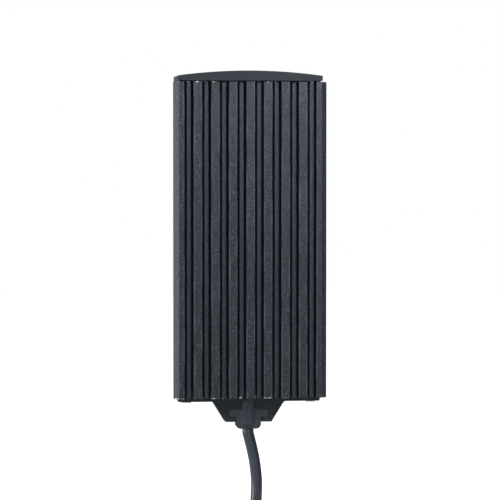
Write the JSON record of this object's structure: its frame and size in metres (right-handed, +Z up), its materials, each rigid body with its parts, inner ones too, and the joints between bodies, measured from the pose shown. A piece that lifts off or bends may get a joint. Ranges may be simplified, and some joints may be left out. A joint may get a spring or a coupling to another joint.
{
  "type": "enclosure heater",
  "caption": "Finned aluminium enclosure heater: a hollow extrusion with moulded end caps, heating stones clamped in its tunnel, a rear clip for a top-hat rail and a lead with ferrules.",
  "frame": {"origin": "on the rear face of the rail clip, where it seats on the rail, level with the middle of the extrusion", "axes": "+Z up along the extrusion, +Y to the rear towards the rail, fins facing -Y, +X to the right seen from the front"},
  "size_m": [0.1042, 0.0328, 0.3257],
  "materials": {
    "extrusion": "dark anodised, fine-blasted",
    "cap_plastic": "fine-textured moulding",
    "gasket_rubber": "matte",
    "screw_steel": "zinc plated",
    "clip_steel": "zinc plated spring steel",
    "relief_plastic": "satin moulding",
    "lead_sheath": "satin",
    "tie_plastic": "satin moulding",
    "live_insulation": "satin",
    "neutral_insulation": "satin",
    "earth_insulation": "satin",
    "ferrule_tin": "tinned",
    "electrode_brass": "rolled",
    "stone_ceramic": "metallised ceramic",
    "sleeve_film": "heat-proof film",
    "spring_steel": "rolled strip",
    "terminal_brass": "pressed"
  },
  "bodies": {
    "root": {"finned_body": "extrusion", "top_cap": "cap_plastic", "bottom_cap": "cap_plastic", "top_gasket": "gasket_rubber", "bottom_gasket": "gasket_rubber", "top_cap_screws": "screw_steel", "bottom_cap_screws": "screw_steel", "strain_relief": "relief_plastic", "lead_sheath": "lead_sheath", "front_electrode": "electrode_brass", "rear_electrode": "electrode_brass", "insulating_sleeve": "sleeve_film", "pressure_spring": "spring_steel", "live_terminal": "terminal_brass", "neutral_terminal": "terminal_brass", "live_lead": "live_insulation", "neutral_lead": "neutral_insulation", "earth_lead": "earth_insulation", "earth_ring": "terminal_brass", "earth_screw": "screw_steel", "rail_clip": "clip_steel", "clip_screws": "screw_steel", "supply_cord": "lead_sheath", "cord_coil": "lead_sheath", "cord_tie": "tie_plastic", "live_core_end": "live_insulation", "neutral_core_end": "neutral_insulation", "earth_core_end": "earth_insulation", "core_ferrules": "ferrule_tin", "heating_stone_1": "stone_ceramic", "heating_stone_2": "stone_ceramic", "heating_stone_3": "stone_ceramic", "heating_stone_4": "stone_ceramic"}
  },
  "joints": []
}
